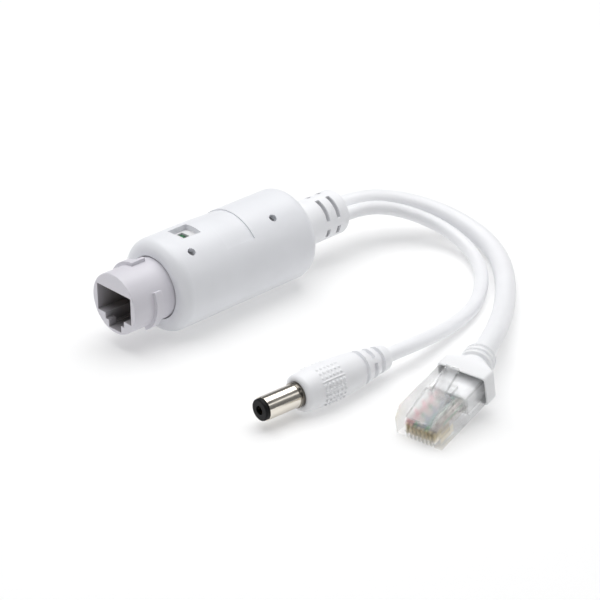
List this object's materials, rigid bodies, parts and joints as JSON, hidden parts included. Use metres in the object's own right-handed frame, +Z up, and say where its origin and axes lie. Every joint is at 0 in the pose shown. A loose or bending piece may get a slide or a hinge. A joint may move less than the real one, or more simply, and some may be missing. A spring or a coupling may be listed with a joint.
{
  "type": "poe splitter",
  "caption": "In-line PoE splitter: a round body with a modular jack in front, and short pigtails to a DC barrel plug and a modular network plug.",
  "frame": {"origin": "on the resting surface, under the middle of the body's length, jack and strain relief included", "axes": "+X from the jack to the cords, +Z up, so +Y is to the left looking along +X"},
  "size_m": [0.104, 0.0948, 0.0232],
  "materials": {
    "jacket_white": "satin",
    "shell_white": "satin",
    "jack_grey": "satin",
    "carrier_grey": "matte",
    "contact_gold": "polished",
    "board_green": "solder mask",
    "header_tin": "tinned",
    "lamp_green": "clear",
    "chip_black": "moulded",
    "ferrite": "sintered",
    "bobbin_amber": "moulded",
    "winding_copper": "enamelled",
    "capacitor_can": "satin",
    "chip_ceramic": "fired",
    "relief_white": "soft moulded",
    "cord_white": "extruded",
    "lead_mixed": "extruded",
    "lead_red": "extruded",
    "barrel_nickel": "nickel",
    "insulator_black": "moulded",
    "grip_white": "soft moulded",
    "clear_plastic": "polished",
    "wire_orange": "extruded",
    "wire_green": "extruded",
    "wire_blue": "extruded",
    "wire_brown": "extruded",
    "boot_white": "soft moulded"
  },
  "bodies": {
    "unit": {"outer_jacket": "jacket_white", "inner_shell_top": "shell_white", "inner_shell_bottom": "shell_white", "jack_housing": "jack_grey", "jack_contact_carrier": "carrier_grey", "jack_contact_tails": "contact_gold", "main_board": "board_green", "lamp_board": "board_green", "header_pins": "header_tin", "status_led": "lamp_green", "lan_magnetics": "chip_black", "transformer_core": "ferrite", "transformer_bobbin": "bobbin_amber", "transformer_winding": "winding_copper", "bridge_rectifiers": "chip_black", "pd_controller_chip": "chip_black", "converter_chip": "chip_black", "rectifier_diode": "chip_black", "output_capacitor": "capacitor_can", "output_inductor": "ferrite", "chip_parts": "chip_ceramic", "cable_strain_relief": "relief_white", "data_leads": "lead_mixed", "power_leads": "lead_red", "ethernet_cord": "cord_white", "dc_cord": "cord_white", "dc_plug_grip": "grip_white", "dc_plug_barrel": "barrel_nickel", "dc_plug_insulator": "insulator_black", "dc_plug_center_contact": "barrel_nickel", "dc_plug_solder_tabs": "header_tin", "dc_plug_conductors": "lead_red", "rj45_plug_body": "clear_plastic", "rj45_plug_contacts": "contact_gold", "rj45_cord_end": "cord_white", "rj45_wire_pair_orange": "wire_orange", "rj45_wire_pair_green": "wire_green", "rj45_wire_pair_blue": "wire_blue", "rj45_wire_pair_brown": "wire_brown", "rj45_plug_boot": "boot_white"},
    "jack_contacts": {"jack_contact_springs": "contact_gold"},
    "plug_latch": {"rj45_plug_latch": "clear_plastic"}
  },
  "joints": [
    {"name": "contact_flex", "type": "hinge", "parent": "unit", "child": "jack_contacts", "pos_m": [-0.0318, 0, 0.015], "axis": [0, -1, 0], "range_deg": [0, 13], "stiffness_Nm_per_rad": 0.02},
    {"name": "latch_flex", "type": "hinge", "parent": "unit", "child": "plug_latch", "pos_m": [-0.01627, -0.07734, 0.00564], "axis": [-0.1357, 0.9907, 0], "range_deg": [0, 8.5], "stiffness_Nm_per_rad": 0.05}
  ]
}
